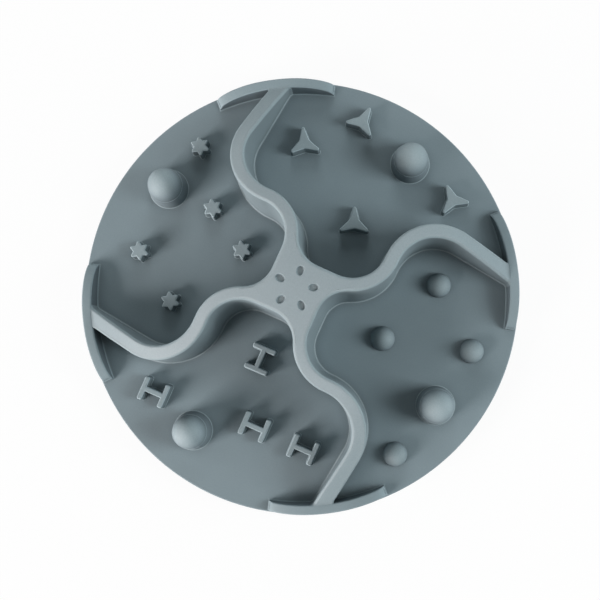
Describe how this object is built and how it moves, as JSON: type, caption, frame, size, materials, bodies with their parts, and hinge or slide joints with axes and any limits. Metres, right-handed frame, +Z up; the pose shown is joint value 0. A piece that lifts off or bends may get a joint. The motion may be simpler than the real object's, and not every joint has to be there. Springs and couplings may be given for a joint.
{
  "type": "slow feeder bowl insert",
  "caption": "Round soft slow feeder insert with S-shaped divider walls rising to a domed hub, pegs and bumps in its food pockets, and suction cups underneath.",
  "frame": {"origin": "centre of the disc, on the plane where the rims of the suction cups rest", "axes": "+Z up out of the disc; +X to the right and +Y to the top of the picture, which looks straight down"},
  "size_m": [0.18, 0.18, 0.041],
  "materials": {
    "silicone": "matte"
  },
  "bodies": {
    "root": {"base_disc": "silicone", "center_hub": "silicone", "divider_wall_1": "silicone", "divider_wall_2": "silicone", "divider_wall_3": "silicone", "divider_wall_4": "silicone", "rim_lip_1": "silicone", "rim_lip_2": "silicone", "rim_lip_3": "silicone", "rim_lip_4": "silicone", "star_peg_1": "silicone", "star_peg_2": "silicone", "star_peg_3": "silicone", "star_peg_4": "silicone", "star_peg_5": "silicone", "tri_peg_1": "silicone", "tri_peg_2": "silicone", "tri_peg_3": "silicone", "tri_peg_4": "silicone", "beam_peg_1": "silicone", "beam_peg_2": "silicone", "beam_peg_3": "silicone", "beam_peg_4": "silicone", "large_dome_1": "silicone", "large_dome_2": "silicone", "large_dome_3": "silicone", "large_dome_4": "silicone", "small_dome_1": "silicone", "small_dome_2": "silicone", "small_dome_3": "silicone", "small_dome_4": "silicone", "suction_cup_center": "silicone", "suction_cup_1": "silicone", "suction_cup_2": "silicone", "suction_cup_3": "silicone", "suction_cup_4": "silicone", "suction_cup_5": "silicone", "suction_cup_6": "silicone", "suction_cup_7": "silicone", "suction_cup_8": "silicone"}
  },
  "joints": []
}
